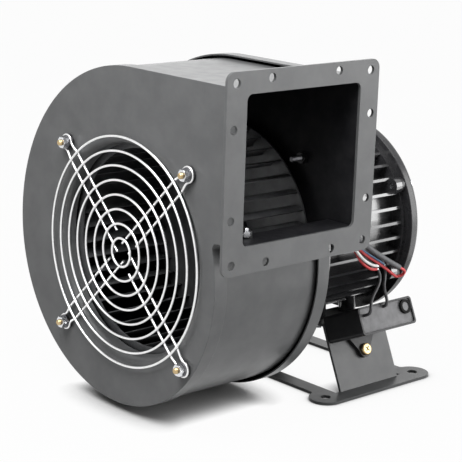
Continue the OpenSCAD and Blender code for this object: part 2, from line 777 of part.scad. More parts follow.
module lead_grommet() {
    color([0.1, 0.1, 0.1]) translate([exit_x, exit_y - 8, exit_z]) rotate([-90, 0, 0]) rotate_extrude()
        polygon([[0, 0], [exit_r - 1 - fit, 0], [exit_r - 1 - fit, 8], [exit_r + 1.5, 8],
            [exit_r + 1.5, 8.7],
            [exit_r + 0.7, 8 + exit_collar], [0, 8 + exit_collar]]);
}

// Frame on the outer face of the right leg: X away from the face, Z up the leg
module on_leg() {
    translate([leg_x, 0, 0]) rotate([0, -leg_lean, 0]) children();
}

module bracket_base() {
    y0 = foot_pitch_y/2;
    inner = leg_x - bracket_t/cos(leg_lean);
    difference() {
        union() {
            for (i = [0, 1], k = [0, 1]) mirror([i, 0]) mirror([0, k]) {
                translate([foot_pitch_x/2, -y0]) circle(ear_r);
                blend([foot_pitch_x/2, -y0], ear_r, -bar_y - bar_w/2, bend_fillet, -1);
                translate([inner, -y0]) square([foot_pitch_x/2 + ear_r - inner, y0 + 1]);
                translate([-1, -bar_y - bar_w/2]) square([foot_pitch_x/2 + 1, bar_w]);
            }
        }
        for (i = [-1, 1], k = [-1, 1]) translate([i*foot_pitch_x/2, k*y0]) circle(d = foot_hole_d);
    }
}

// Leaning leg, and the tab at its top under the foot bosses
module leg_and_tab(skew, top_x) {
    tab_x = pad_x - tab_in;
    translate([0, leg_w/2, 0]) rotate([90, 0, 0]) linear_extrude(leg_w)
        polygon([[leg_x, 0], [top_x, tab_z], [top_x - skew, tab_z], [leg_x - skew, 0]]);
    translate([tab_x, pad_y - tab_len/2, tab_z - bracket_t])
        cube([top_x - skew/2 - tab_x, tab_len, bracket_t]);
}

module support_bracket() {
    skew = bracket_t/cos(leg_lean);
    top_x = leg_x - tab_z*tan(leg_lean);
    color([0.3, 0.3, 0.31]) difference() {
        union() {
            linear_extrude(bracket_t) bracket_base();
            for (i = [0, 1]) mirror([i, 0, 0])
                leg_and_tab(skew, top_x);
        }
        for (i = [-1, 1], k = [-1, 1])
            translate([i*pad_x, pad_y + k*pad_pitch/2, tab_z - bracket_t - 1])
                cylinder(r = m5_r + hole_gap, h = bracket_t + 2);
        on_leg() translate([-bracket_t - 1, cap_screw_y, cap_screw_v]) rotate([0, 90, 0])
            cylinder(r = m4_r + hole_gap, h = bracket_t + 2);
    }
}

module pad_washers() {
    color([0.75, 0.75, 0.76])
        for (i = [-1, 1], k = [-1, 1])
            translate([i*pad_x, pad_y + k*pad_pitch/2, tab_z - bracket_t - m5_washer_t])
                washer(m5_washer_r, m5_r + hole_gap, m5_washer_t);
}

module pad_bolts() {
    z = tab_z - bracket_t - m5_washer_t;
    color([0.72, 0.72, 0.72])
        for (i = [-1, 1], k = [-1, 1]) translate([i*pad_x, pad_y + k*pad_pitch/2, z]) {
            translate([0, 0, -m5_head_h]) cylinder(r = m5_head_af/2/cos(30), h = m5_head_h, $fn = 6);
            cylinder(r = m5_r, h = m5_reach + bracket_t + m5_washer_t);
        }
}

// Drawing in Y and Z on the leg, extruded away from it
module on_leg_slab(x, t) {
    on_leg() translate([x, 0, 0]) rotate([90, 0, 90]) linear_extrude(t) children();
}

module cap_outline(inset) {
    translate([cap_y, cap_up + cap_h/2]) rounded(cap_w - 2*inset, cap_h - 2*inset, cap_corner - inset/2);
}

module capacitor_case() {
    color([0.09, 0.09, 0.09]) difference() {
        union() {
            difference() {
                on_leg_slab(0, cap_d) cap_outline(0);
                on_leg_slab(cap_wall, cap_d) cap_outline(cap_wall);
            }
            on_leg_slab(cap_wall/2, cap_d - cap_wall/2 + 0.6)
                translate([cap_y + post_y, cap_up + post_v]) circle(post_r);
            on_leg_slab(0, cap_tab_t) {
                translate([cap_screw_y, cap_screw_v]) circle(cap_tab_r);
                polygon([[cap_screw_y - cap_tab_r, cap_screw_v], [cap_screw_y + cap_tab_r, cap_screw_v],
                    [cap_screw_y + cap_tab_w, cap_up], [cap_screw_y + cap_tab_w, cap_up + cap_wall/2],
                    [cap_screw_y - cap_tab_w, cap_up + cap_wall/2], [cap_screw_y - cap_tab_w, cap_up]]);
            }
        }
        on_leg_slab(cap_wall, cap_d) translate([cap_y + post_y, cap_up + post_v]) circle(post_bore);
        on_leg_slab(-1, cap_tab_t + 2) translate([cap_screw_y, cap_screw_v]) circle(m4_r + hole_gap);
    }
}

module capacitor_potting() {
    t = cap_d - cap_wall - cap_recess;
    color([0.62, 0.62, 0.6]) {
        on_leg_slab(cap_wall, t) difference() {
            cap_outline(cap_wall + fit);
            translate([cap_y + post_y, cap_up + post_v]) circle(post_r + fit);
        }
        on_leg_slab(cap_wall, t + cap_recess)
            translate([cap_y + post_y, cap_up + post_v]) circle(post_bore - fit);
    }
}

module capacitor_screw() {
    l = cap_tab_t + bracket_t + m4_nut_h + 1;
    color([0.8, 0.66, 0.3]) on_leg() translate([cap_tab_t, cap_screw_y, cap_screw_v]) rotate([0, -90, 0])
        difference() {
            screw(m4_r, l, m4_head_r + 0.5, m4_head_h + 0.3);
            for (a = [45, 135])
                rotate([0, 0, a]) translate([-2.2, -0.4, -m4_head_h - 1]) cube([4.4, 0.8, 2.2]);
        }
}

module capacitor_nut() {
    color([0.75, 0.75, 0.76]) on_leg() translate([-bracket_t, cap_screw_y, cap_screw_v]) rotate([0, -90, 0])
        hex_nut(m4_nut_af, m4_nut_h, m4_r + thread_gap);
}

module lead_sleeve() {
    color([0.2, 0.2, 0.21]) tube(SLEEVE, sleeve_d);
}

module lead_red_loop() {
    color([0.75, 0.1, 0.08]) tube(route(LOOP, 2), lead_d);
}

module lead_blue() {
    color([0.1, 0.25, 0.65]) tube(BLUE, lead_d);
}

module lead_white() {
    color([0.9, 0.9, 0.88]) tube(WHITE, lead_d);
}

module lead_red_short() {
    color([0.75, 0.1, 0.08]) tube(SHORT, lead_d);
}

module capacitor_lead_a() {
    color([0.15, 0.15, 0.16]) tube(CAP_A, cap_lead_d);
}

module capacitor_lead_b() {
    color([0.15, 0.15, 0.16]) tube(CAP_B, cap_lead_d);
}

front_cover();
scroll_wrapper();
back_cover();
outlet_flange();
duct_screw();
duct_washer();
duct_nut();
guard_rings();
guard_legs();
guard_spacers();
guard_washers();
guard_nuts();
guard_screws();
impeller_ring();
impeller_blades();
impeller_disc();
impeller_hub();
hub_rivets();
hub_grub_screw();
shaft();
rotor_core();
rotor_cage();
front_race();
rear_race();
front_bearing();
rear_bearing();
front_shield();
shield_screws();
motor_screws();
motor_nuts();
motor_body();
stator_core();
stator_windings();
rear_shield();
rear_screws();
lead_grommet();
support_bracket();
pad_washers();
pad_bolts();
capacitor_case();
capacitor_potting();
capacitor_screw();
capacitor_nut();
lead_sleeve();
lead_red_loop();
lead_blue();
lead_white();
lead_red_short();
capacitor_lead_a();
capacitor_lead_b();
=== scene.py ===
import math

import bmesh
import bpy
from mathutils import Matrix, Vector


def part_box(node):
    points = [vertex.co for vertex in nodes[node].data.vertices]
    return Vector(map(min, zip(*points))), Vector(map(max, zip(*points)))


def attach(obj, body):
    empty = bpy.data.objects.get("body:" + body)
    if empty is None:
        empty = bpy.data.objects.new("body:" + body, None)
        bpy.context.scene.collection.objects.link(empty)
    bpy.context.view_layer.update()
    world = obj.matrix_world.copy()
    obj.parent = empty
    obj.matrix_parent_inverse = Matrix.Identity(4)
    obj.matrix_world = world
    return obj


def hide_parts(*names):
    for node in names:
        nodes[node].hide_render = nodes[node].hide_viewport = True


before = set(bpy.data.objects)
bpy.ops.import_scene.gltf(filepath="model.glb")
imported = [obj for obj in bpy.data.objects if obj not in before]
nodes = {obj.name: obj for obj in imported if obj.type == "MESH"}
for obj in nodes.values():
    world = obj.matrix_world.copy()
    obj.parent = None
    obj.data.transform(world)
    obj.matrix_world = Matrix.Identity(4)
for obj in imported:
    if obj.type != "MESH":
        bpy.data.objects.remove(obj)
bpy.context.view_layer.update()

# Sizes and places of pieces are in millimetres, and become metres when a mesh is made
MM = 0.001


def node_box(node):
    """The two corners of a solid, in millimetres."""
    low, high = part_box(node)
    return low / MM, high / MM


def node_middle(node):
    low, high = node_box(node)
    return (low + high) / 2


SHAFT_HEIGHT = node_middle("shaft").z
COVER_FRONT = node_box("front_cover")[0].y
COVER_BACK = node_box("back_cover")[1].y
DUCT_MIDDLE = node_middle("outlet_flange").z
DUCT_FLOOR = 134.0
SHEET = 1.2


def add_piece(name, data):
    piece = bpy.data.objects.new(name, data)
    bpy.context.scene.collection.objects.link(piece)
    return piece


# Camera at the photograph's angle, with its place in metres

LENS = 122.07
SENSOR = 36.0
FAR_CLIP = 20.0
CAMERA_PLACE = Vector((0.7662, -0.7732, 0.3689))
CAMERA_RIGHT = Vector((0.6647, 0.7464, 0.0325))
CAMERA_UP = Vector((-0.2020, 0.1376, 0.9697))
CAMERA_BACK = Vector((0.7193, -0.6511, 0.2423))


def place_camera():
    camera = add_piece("blower_camera", bpy.data.cameras.new("blower_camera"))
    camera.data.sensor_width = SENSOR
    camera.data.lens = LENS
    camera.data.clip_end = FAR_CLIP
    turn = Matrix((CAMERA_RIGHT, CAMERA_UP, CAMERA_BACK)).transposed().to_4x4()
    camera.matrix_world = Matrix.Translation(CAMERA_PLACE) @ turn
    bpy.context.scene.camera = camera


place_camera()


# Shader nodes that the finishes share

# Places of a colour Mix node's sockets, which share their names with other kinds of mix
MIX_SHARE = 0
MIX_FIRST = 6
MIX_SECOND = 7
MIX_RESULT = 2
OCCLUSION_SAMPLES = 8


def add_node(tree, kind, **values):
    """A new shader node, with its sockets and settings given by name."""
    node = tree.nodes.new(kind)
    for key, value in values.items():
        if key in node.inputs:
            node.inputs[key].default_value = value
        else:
            setattr(node, key, value)
    return node


def blank_finish(name):
    """A new material, its shader and the place on the piece that its patterns follow."""
    material = bpy.data.materials.new(name)
    material.use_nodes = True
    tree = material.node_tree
    place = add_node(tree, "ShaderNodeTexCoord").outputs["Object"]
    return material, tree, tree.nodes["Principled BSDF"], place


def blotches(tree, place, scale, detail, roughness=0.5):
    noise = add_node(tree, "ShaderNodeTexNoise", Scale=scale, Detail=detail, Roughness=roughness)
    tree.links.new(place, noise.inputs["Vector"])
    return noise.outputs["Fac"]


def wave_lines(tree, place, scale, distortion, **settings):
    wave = add_node(tree, "ShaderNodeTexWave", Scale=scale, Distortion=distortion, **settings)
    tree.links.new(place, wave.inputs["Vector"])
    return wave.outputs["Fac"]


def two_tone(tree, value, dark, light, low=0.0, high=1.0):
    """Two tones of one finish, blended by a value."""
    ramp = add_node(tree, "ShaderNodeValToRGB")
    first, second = ramp.color_ramp.elements
    first.position = low
    second.position = high
    first.color = (*dark, 1.0)
    second.color = (*light, 1.0)
    tree.links.new(value, ramp.inputs["Fac"])
    return ramp.outputs["Color"]


def rescale(tree, value, old_range, new_range):
    span = add_node(tree, "ShaderNodeMapRange")
    limits = (*old_range, *new_range)
    for socket, limit in zip(("From Min", "From Max", "To Min", "To Max"), limits):
        span.inputs[socket].default_value = limit
    tree.links.new(value, span.inputs["Value"])
    return span.outputs["Result"]


def raised(tree, height, depth, strength):
    bump = add_node(tree, "ShaderNodeBump", Strength=strength, Distance=depth)
    tree.links.new(height, bump.inputs["Height"])
    return bump.outputs["Normal"]


def open_share(tree, reach, shut_to_clear, top=1.0):
    """0 deep in a slot, corner or seam, and up to the top value out in the open."""
    hollow = add_node(tree, "ShaderNodeAmbientOcclusion", samples=OCCLUSION_SAMPLES, Distance=reach)
    return rescale(tree, hollow.outputs["AO"], shut_to_clear, (0.0, top))


def painted_recess_shade(tree, colour, share, grey):
    """Painted shade: a dark grey in slots, seams and thread roots, where the open share is low."""
    mix = add_node(tree, "ShaderNodeMix", data_type="RGBA")
    mix.inputs[MIX_FIRST].default_value = (grey, grey, grey, 1.0)
    tree.links.new(share, mix.inputs[MIX_SHARE])
    tree.links.new(colour, mix.inputs[MIX_SECOND])
    return mix.outputs[MIX_RESULT]


# Kinds of finish: relief depths and reaches are in metres, as shader nodes take them

BLOTCH_DETAIL = 5.0
BLOTCH_ROUGHNESS = 0.6
BLOTCH_SPAN = (0.35, 0.65)
PATCHES_PER_BLOTCH = 2.5
PATCH_DETAIL = 4.0
PATCH_SPAN = (0.3, 0.7)
GRAIN_DETAIL = 3.0
COAT_BUMP = 0.5
# Painted shade: the grey that a coat darkens to in hollows
COAT_PAINTED_SHADE_GREY = 0.004
LACQUER_ROUGHNESS = 0.15

MARK_DETAIL = 4.0
MARK_SPAN = (0.3, 0.7)
MARK_DEPTH = 0.00002
MARK_BUMP = 0.25
# Painted shade in the recesses of metal: its reach in metres, occlusion span and grey
METAL_PAINTED_SHADE_REACH = 0.0015
METAL_RECESS = (0.25, 0.75)
METAL_PAINTED_SHADE_GREY = 0.04

COPPER_DARK = (0.20, 0.06, 0.02)
COPPER_LIGHT = (0.62, 0.25, 0.09)
COPPER_ROUGHNESS = 0.32
TURN_SCALE = 260.0
TURN_WAVER = 2.5
TURN_DEPTH = 0.0002
TURN_BUMP = 0.6

PLATE_DARK = (0.12, 0.12, 0.13)
PLATE_LIGHT = (0.36, 0.37, 0.38)
PLATE_ROUGH = (0.38, 0.55)
PLATE_PATCH = 300.0
PLATE_SCALE = 310.0
PLATE_WAVER = 0.4
PLATE_DEPTH = 0.0001
PLATE_BUMP = 0.5


def mottle(tree, place, scale, dark, light):
    """Two tones of one finish, mixed in soft blotches."""
    value = blotches(tree, place, scale, BLOTCH_DETAIL, BLOTCH_ROUGHNESS)
    return two_tone(tree, value, dark, light, *BLOTCH_SPAN)


def patchy_gloss(tree, place, scale, rough):
    patches = blotches(tree, place, scale, PATCH_DETAIL)
    return rescale(tree, patches, PATCH_SPAN, rough)


def coated(
    name, dark, light, blotch, rough, grain, depth,
    metal=0.0, sheen=0.5, lacquer=0.0, reach=0.0, deep=(0.12, 0.36),
):
    """Paint, moulding, rubber or cast alloy: soft blotches of two tones over a fine grain."""
    material, tree, shader, place = blank_finish(name)
    shader.inputs["Metallic"].default_value = metal
    shader.inputs["Specular IOR Level"].default_value = sheen
    shader.inputs["Coat Weight"].default_value = lacquer
    shader.inputs["Coat Roughness"].default_value = LACQUER_ROUGHNESS
    colour = mottle(tree, place, blotch, dark, light)
    # Painted shade in hollows: a darker colour and less sheen where the open share is low
    if reach:
        share = open_share(tree, reach, deep)
        colour = painted_recess_shade(tree, colour, share, COAT_PAINTED_SHADE_GREY)
        open_sheen = rescale(tree, share, (0.0, 1.0), (0.0, sheen))
        tree.links.new(open_sheen, shader.inputs["Specular IOR Level"])
    tree.links.new(colour, shader.inputs["Base Color"])
    roughness = patchy_gloss(tree, place, blotch * PATCHES_PER_BLOTCH, rough)
    tree.links.new(roughness, shader.inputs["Roughness"])
    grains = blotches(tree, place, grain, GRAIN_DETAIL)
    tree.links.new(raised(tree, grains, depth, COAT_BUMP), shader.inputs["Normal"])
    return material


def drawn_metal(name, dark, light, streak, rough, stretch=(1.0, 1.0, 1.0)):
    """Plated or turned metal with fine drawing marks, and painted shade in its recesses."""
    material, tree, shader, place = blank_finish(name)
    shader.inputs["Metallic"].default_value = 1.0
    stretched = add_node(tree, "ShaderNodeMapping", Scale=stretch)
    tree.links.new(place, stretched.inputs["Vector"])
    marks = blotches(tree, stretched.outputs["Vector"], streak, MARK_DETAIL)
    colour = two_tone(tree, marks, dark, light, *MARK_SPAN)
    # Painted shade: the colour darkens in recesses
    share = open_share(tree, METAL_PAINTED_SHADE_REACH, METAL_RECESS)
    tree.links.new(painted_recess_shade(tree, colour, share, METAL_PAINTED_SHADE_GREY), shader.inputs["Base Color"])
    tree.links.new(rescale(tree, marks, (0.0, 1.0), rough), shader.inputs["Roughness"])
    tree.links.new(raised(tree, marks, MARK_DEPTH, MARK_BUMP), shader.inputs["Normal"])
    return material


def wound_copper(name):
    """Enamelled winding wire, laid in turns."""
    material, tree, shader, place = blank_finish(name)
    shader.inputs["Metallic"].default_value = 1.0
    shader.inputs["Roughness"].default_value = COPPER_ROUGHNESS
    turns = wave_lines(tree, place, TURN_SCALE, TURN_WAVER, wave_type="RINGS", rings_direction="Y")
    colour = two_tone(tree, turns, COPPER_DARK, COPPER_LIGHT)
    tree.links.new(colour, shader.inputs["Base Color"])
    tree.links.new(raised(tree, turns, TURN_DEPTH, TURN_BUMP), shader.inputs["Normal"])
    return material


def stacked_steel(name):
    """Core plates, pressed into one stack along the shaft."""
    material, tree, shader, place = blank_finish(name)
    shader.inputs["Metallic"].default_value = 1.0
    plates = wave_lines(tree, place, PLATE_SCALE, PLATE_WAVER, bands_direction="Y")
    colour = two_tone(tree, plates, PLATE_DARK, PLATE_LIGHT)
    tree.links.new(colour, shader.inputs["Base Color"])
    tree.links.new(patchy_gloss(tree, place, PLATE_PATCH, PLATE_ROUGH), shader.inputs["Roughness"])
    tree.links.new(raised(tree, plates, PLATE_DEPTH, PLATE_BUMP), shader.inputs["Normal"])
    return material


# Finishes of this blower: tones, pattern scales per metre, roughness range, relief in metres, and the
# reach of painted shade in hollows, in metres

COATS = {
    "casing_paint": dict(
        dark=(0.112, 0.114, 0.116), light=(0.132, 0.134, 0.136), blotch=60.0, rough=(0.28, 0.34),
        grain=900.0, depth=0.00002, sheen=0.22, reach=0.03, deep=(0.18, 0.62),
    ),
    # Painted shade: near-black, with little sheen, on the casing's inside faces
    "casing_inside_shade": dict(
        dark=(0.012, 0.012, 0.014), light=(0.022, 0.022, 0.024), blotch=80.0, rough=(0.42, 0.52),
        grain=900.0, depth=0.00002, sheen=0.12,
    ),
    "bracket_paint": dict(
        dark=(0.088, 0.090, 0.092), light=(0.108, 0.110, 0.112), blotch=70.0, rough=(0.30, 0.36),
        grain=900.0, depth=0.00002, sheen=0.24, reach=0.01, deep=(0.15, 0.55),
    ),
    "impeller_steel": dict(
        dark=(0.080, 0.082, 0.086), light=(0.120, 0.122, 0.126), blotch=90.0, rough=(0.34, 0.46),
        grain=1000.0, depth=0.00006, sheen=0.4, reach=0.06,
    ),
    "black_steel": dict(
        dark=(0.020, 0.020, 0.021), light=(0.035, 0.035, 0.036), blotch=300.0, rough=(0.30, 0.42),
        grain=2500.0, depth=0.00003, metal=0.6,
    ),
    "cage_alloy": dict(
        dark=(0.55, 0.56, 0.57), light=(0.68, 0.69, 0.70), blotch=200.0, rough=(0.38, 0.52),
        grain=1200.0, depth=0.00005, metal=1.0,
    ),
    "motor_alloy": dict(
        dark=(0.025, 0.025, 0.027), light=(0.036, 0.036, 0.038), blotch=90.0, rough=(0.16, 0.22),
        grain=800.0, depth=0.00001, sheen=1.0, lacquer=0.6,
    ),
    "shield_alloy": dict(
        dark=(0.025, 0.025, 0.027), light=(0.036, 0.036, 0.038), blotch=90.0, rough=(0.24, 0.30),
        grain=800.0, depth=0.00001, sheen=0.38,
    ),
    "rubber": dict(
        dark=(0.029, 0.029, 0.029), light=(0.042, 0.042, 0.042), blotch=250.0, rough=(0.62, 0.78),
        grain=2000.0, depth=0.00004,
    ),
    "cap_case": dict(
        dark=(0.018, 0.018, 0.020), light=(0.027, 0.027, 0.029), blotch=120.0, rough=(0.30, 0.40),
        grain=1800.0, depth=0.00003, sheen=0.22,
    ),
    # Painted shade: matt black for the ring round the capacitor's boss
    "boss_ring_shade": dict(
        dark=(0.010, 0.010, 0.010), light=(0.016, 0.016, 0.016), blotch=200.0, rough=(0.55, 0.65),
        grain=1800.0, depth=0.00003, sheen=0.05,
    ),
    "cap_potting": dict(
        dark=(0.124, 0.124, 0.128), light=(0.184, 0.184, 0.190), blotch=160.0, rough=(0.36, 0.50),
        grain=420.0, depth=0.00010, sheen=0.25,
    ),
    "sleeve": dict(
        dark=(0.063, 0.065, 0.068), light=(0.099, 0.101, 0.108), blotch=500.0, rough=(0.45, 0.60),
        grain=1600.0, depth=0.00006,
    ),
    "red_lead": dict(
        dark=(0.504, 0.017, 0.022), light=(0.648, 0.029, 0.034), blotch=300.0, rough=(0.32, 0.44),
        grain=1500.0, depth=0.00003,
    ),
    "blue_lead": dict(
        dark=(0.027, 0.102, 0.204), light=(0.044, 0.145, 0.289), blotch=300.0, rough=(0.32, 0.44),
        grain=1500.0, depth=0.00003,
    ),
    "white_lead": dict(
        dark=(0.72, 0.72, 0.70), light=(0.82, 0.82, 0.80), blotch=300.0, rough=(0.32, 0.44),
        grain=1500.0, depth=0.00003,
    ),
    "dark_lead": dict(
        dark=(0.026, 0.026, 0.029), light=(0.042, 0.042, 0.045), blotch=300.0, rough=(0.30, 0.42),
        grain=1500.0, depth=0.00003,
    ),
}

METALS = {
    "guard_wire": dict(
        dark=(0.86, 0.86, 0.86), light=(0.96, 0.96, 0.96), streak=500.0, rough=(0.28, 0.38),
    ),
    "zinc": dict(
        dark=(0.70, 0.71, 0.73), light=(0.86, 0.87, 0.89), streak=700.0, rough=(0.20, 0.34),
    ),
    "yellow_zinc": dict(
        dark=(0.46, 0.33, 0.16), light=(0.64, 0.50, 0.29), streak=600.0, rough=(0.34, 0.46),
    ),
    "dull_zinc": dict(
        dark=(0.13, 0.13, 0.14), light=(0.22, 0.22, 0.23), streak=700.0, rough=(0.34, 0.46),
    ),
    "bright_steel": dict(
        dark=(0.52, 0.52, 0.53), light=(0.66, 0.66, 0.67), streak=300.0, rough=(0.18, 0.30),
        stretch=(1.0, 8.0, 1.0),
    ),
}

finishes = {name: coated(name, **look) for name, look in COATS.items()}
finishes.update({name: drawn_metal(name, **look) for name, look in METALS.items()})
finishes["copper"] = wound_copper("copper")
finishes["core_steel"] = stacked_steel("core_steel")


def dress(piece, *finish_names):
    piece.data.materials.clear()
    for finish_name in finish_names:
        piece.data.materials.append(finishes[finish_name])


# Finishes of the solids that are shown as they are, and of those that a finer piece stands for

NODE_FINISHES = {
    "casing_paint": ("front_cover", "scroll_wrapper", "back_cover", "outlet_flange"),
    "guard_wire": ("guard_rings", "guard_legs"),
    "zinc": (
        "duct_screw", "duct_nut", "guard_nuts", "motor_screws", "shield_screws", "rear_screws",
        "pad_washers", "pad_bolts", "capacitor_nut", "hub_rivets",
    ),
    "dull_zinc": ("guard_spacers", "guard_washers"),
    "yellow_zinc": ("guard_screws", "capacitor_screw"),
    "bright_steel": ("shaft", "front_race", "rear_race", "front_bearing", "rear_bearing"),
    "black_steel": ("hub_grub_screw", "motor_nuts", "duct_washer"),
    "impeller_steel": ("impeller_ring", "impeller_blades", "impeller_disc", "impeller_hub"),
    "core_steel": ("rotor_core", "stator_core"),
    "cage_alloy": ("rotor_cage",),
    "copper": ("stator_windings",),
    "motor_alloy": ("front_shield", "motor_body"),
    "shield_alloy": ("rear_shield",),
    "bracket_paint": ("support_bracket",),
    "rubber": ("lead_grommet",),
    "cap_case": ("capacitor_case",),
    "cap_potting": ("capacitor_potting",),
}

for node_finish, node_names in NODE_FINISHES.items():
    for node_name in node_names:
        dress(nodes[node_name], node_finish)


# Pieces made here all belong to the housing

SHARP_EDGE = math.radians(30)
MERGE = 0.001
WIRE_ROUNDNESS = 4


def keep_mesh(name, bm):
    mesh = bpy.data.meshes.new(name)
    for face in bm.faces:
        face.smooth = True
    bm.to_mesh(mesh)
    bm.free()
    mesh.set_sharp_from_angle(angle=SHARP_EDGE)
    return add_piece(name, mesh)


def fix_to_housing(piece, slot, *finish_names):
    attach(piece, "housing")
    dress(piece, *finish_names)


def smooth_route(points, steps):
    """The same round curve through the points as the solid follows, in metres."""
    points = [Vector(p) * MM for p in points]
    last = len(points) - 1
    route = []
    for i in range(last):
        a, b = points[max(i - 1, 0)], points[i]
        c, d = points[i + 1], points[min(i + 2, last)]
        for k in range(steps):
            t = k / steps
            route.append(0.5 * (
                2 * b + (c - a) * t + (2 * a - 5 * b + 4 * c - d) * t ** 2
                + (3 * b - a - 3 * c + d) * t ** 3
            ))
    return route + [points[-1]]


def round_wire(name, routes, width):
    """Round wires along their routes, which are in metres."""
    curve = bpy.data.curves.new(name, "CURVE")
    curve.dimensions = "3D"
    curve.bevel_depth = width / 2
    curve.bevel_resolution = WIRE_ROUNDNESS
    curve.use_fill_caps = True
    for route in routes:
        spline = curve.splines.new("POLY")
        spline.points.add(len(route) - 1)
        for knot, place in zip(spline.points, route):
            knot.co = (*place, 1.0)
            knot.radius = MM
        spline.use_smooth = True
    return add_piece(name, curve)


# Leads: each follows the same points as its solid

SLEEVE_WIDTH = 3.6
LEAD_WIDTH = 2.0
CAPACITOR_LEAD_WIDTH = 2.2

SLEEVE_ROUTE = [
    (73.5, -35.4, 116.4), (73.8, -29, 112.2), (74, -20, 105.6), (73.5, -5, 96.5), (73.5, 3, 92),
    (73.5, 10.9, 87.7),
]
RED_LOOP_ROUTE = [
    (73.5, 10, 88.2), (73.5, 13, 86.5), (73.4, 15.6, 85), (72.9, 17.3, 83.4),
    (71.7, 17.8, 81.5), (70.2, 16.9, 80), (68.9, 15, 79.4), (68.4, 12.6, 80.1), (68.6, 8, 83.2),
    (69, -4, 91), (69, -20, 100.6), (70.2, -35.4, 112.2),
]
BLUE_ROUTE = [
    (67.7, -35.4, 114.3), (66.8, -29, 109), (66.5, -19.3, 102.2), (66.5, -6.9, 95),
    (66.5, 2.5, 89.4),
]
WHITE_ROUTE = [
    (72.8, -35.4, 109.9), (72.2, -31, 104.6), (71.5, -22.6, 97.4), (71.5, -14.6, 92.8),
    (71.5, -9.4, 91.4),
]
RED_SHORT_ROUTE = [
    (69.9, -35.4, 109.4), (69.5, -29.4, 103.5), (69.4, -23, 95.7), (70.5, -15.4, 90.1),
    (71.3, -9.4, 89),
]
CAPACITOR_ROUTE_A = [
    (67.9, -35.4, 110.9), (66.6, -26, 102.4), (66.2, -12, 93.4), (66.2, -4, 87.6),
    (66.5, -1, 82.8), (67.9, -2.2, 78.2), (70.7, -7.6, 74.8), (74, -14.2, 72),
    (77.2, -19.4, 69.2), (79.1, -21.6, 66.2), (79.3, -22, 63.6), (78.3, -22.1, 61.4),
    (76.2, -22.1, 60), (72.6, -22, 58.4),
]
CAPACITOR_ROUTE_B = [
    (67.3, -35.4, 117.1), (65.6, -27, 111.2), (64.8, -12.7, 102.4), (64.5, -1, 95),
    (64.6, 4, 89.6), (65.1, 5.8, 84.6), (66.6, 4.4, 79.6), (69.2, 1.2, 75.6),
    (72.2, -1.2, 72.2), (74.9, -2.1, 68.8), (75.8, -2.2, 65.5), (74.6, -2.1, 62.8),
    (71.5, -2, 61.1),
]

# A route with many points needs fewer steps between them
FEW_POINTS = 8
STEPS_FEW = 4
STEPS_MANY = 3

# Tinned strands at a cut lead's end, six round one
STRAND_WIDTH = 0.4
STRAND_SPACING = 1.05 * STRAND_WIDTH
STRAND_LENGTH = 2.4
STRANDS_ROUND = 6
STRAND_SIDES = 10


def bare_strands(name, route):
    """Strands half inside the lead and half out of it."""
    end = route[-1]
    along = (end - route[-2]).normalized()
    aim = Matrix.Translation(end) @ along.to_track_quat("Z", "Y").to_matrix().to_4x4()
    spots = [Vector((0.0, 0.0, 0.0))]
    for k in range(STRANDS_ROUND):
        turn = math.tau * k / STRANDS_ROUND
        spots.append(Vector((math.cos(turn), math.sin(turn), 0.0)) * STRAND_SPACING * MM)
    radius = STRAND_WIDTH / 2 * MM
    bm = bmesh.new()
    for spot in spots:
        bmesh.ops.create_cone(
            bm, cap_ends=True, segments=STRAND_SIDES, radius1=radius, radius2=radius,
            depth=STRAND_LENGTH * MM, matrix=aim @ Matrix.Translation(spot),
        )
    strands = keep_mesh(name, bm)
    fix_to_housing(strands, "zinc", "zinc")
    return strands


def lay_lead(name, node, points, width, finish, strands=False):
    steps = STEPS_FEW if len(points) < FEW_POINTS else STEPS_MANY
    route = smooth_route(points, steps)
    lead = round_wire(name, [route], width)
    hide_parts(node)
    fix_to_housing(lead, finish, finish)
    ends = [bare_strands(name + "_strands", route)] if strands else []


lay_lead("sleeve", "lead_sleeve", SLEEVE_ROUTE, SLEEVE_WIDTH, "sleeve")
lay_lead("red_loop", "lead_red_loop", RED_LOOP_ROUTE, LEAD_WIDTH, "red_lead")
lay_lead("blue", "lead_blue", BLUE_ROUTE, LEAD_WIDTH, "blue_lead", strands=True)
lay_lead("white", "lead_white", WHITE_ROUTE, LEAD_WIDTH, "white_lead", strands=True)
lay_lead("red_short", "lead_red_short", RED_SHORT_ROUTE, LEAD_WIDTH, "red_lead", strands=True)
for capacitor_end, capacitor_route in (("a", CAPACITOR_ROUTE_A), ("b", CAPACITOR_ROUTE_B)):
    lay_lead(
        "capacitor_" + capacitor_end, "capacitor_lead_" + capacitor_end, capacitor_route,
        CAPACITOR_LEAD_WIDTH, "dark_lead",
    )


# Turned screws: the solid's own head and shank, with the ridges of its thread

HEAD_HEIGHT = 2.4
PAN_HEAD = 3.75
SMALL_HEAD = 3.0
HEAD_CROWN = 0.45 * HEAD_HEIGHT
CROWN_STEPS = 6
SHANK = 2.0
THREAD_PITCH = 0.7
THREAD_DEPTH = 0.28
TIP_CHAMFER = 0.5
TIP_LENGTH = 0.2
SCREW_SIDES = 20


def screw_outline(length, head):
    """Half outline of a pan-head screw: radius, and height above the head's seat."""
    outline = [(0.0, -HEAD_HEIGHT)]
    for k in range(CROWN_STEPS + 1):
        turn = math.pi / 2 * (k / CROWN_STEPS - 1)
        radius = head - HEAD_CROWN + HEAD_CROWN * math.cos(turn)
        outline.append((radius, HEAD_CROWN - HEAD_HEIGHT + HEAD_CROWN * math.sin(turn)))
    outline += [(head, 0.0), (SHANK, 0.0)]
    root = SHANK - THREAD_DEPTH
    height = THREAD_PITCH
    while height + THREAD_PITCH < length:
        outline += [(root, height), (SHANK, height + THREAD_PITCH / 2)]
        height += THREAD_PITCH
    return outline + [(root, length - TIP_LENGTH), (SHANK - TIP_CHAMFER, length), (0.0, length)]


